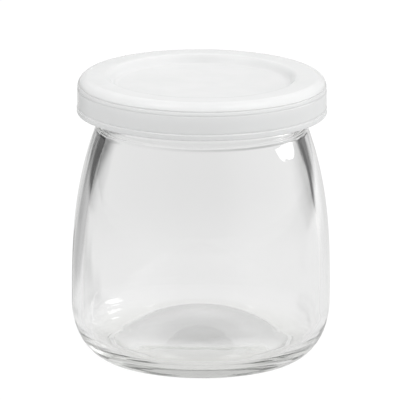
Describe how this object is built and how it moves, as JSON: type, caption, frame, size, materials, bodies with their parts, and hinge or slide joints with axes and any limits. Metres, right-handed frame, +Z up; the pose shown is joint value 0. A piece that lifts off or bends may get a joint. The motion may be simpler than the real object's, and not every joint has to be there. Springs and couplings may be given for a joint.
{
  "type": "pudding jar",
  "caption": "Round-shouldered clear glass jar with a short neck and a wide push-on plastic cap with a sunk top panel.",
  "frame": {"origin": "centre of the jar's foot, on the surface it stands on", "axes": "+Z up along the jar's axis, through the mouth and the cap; the shape is the same all round"},
  "size_m": [0.062, 0.062, 0.0689],
  "materials": {
    "glass": "clear, smooth",
    "plastic": "milky, slightly translucent, satin"
  },
  "bodies": {
    "root": {"jar": "glass", "cap": "plastic"}
  },
  "joints": []
}
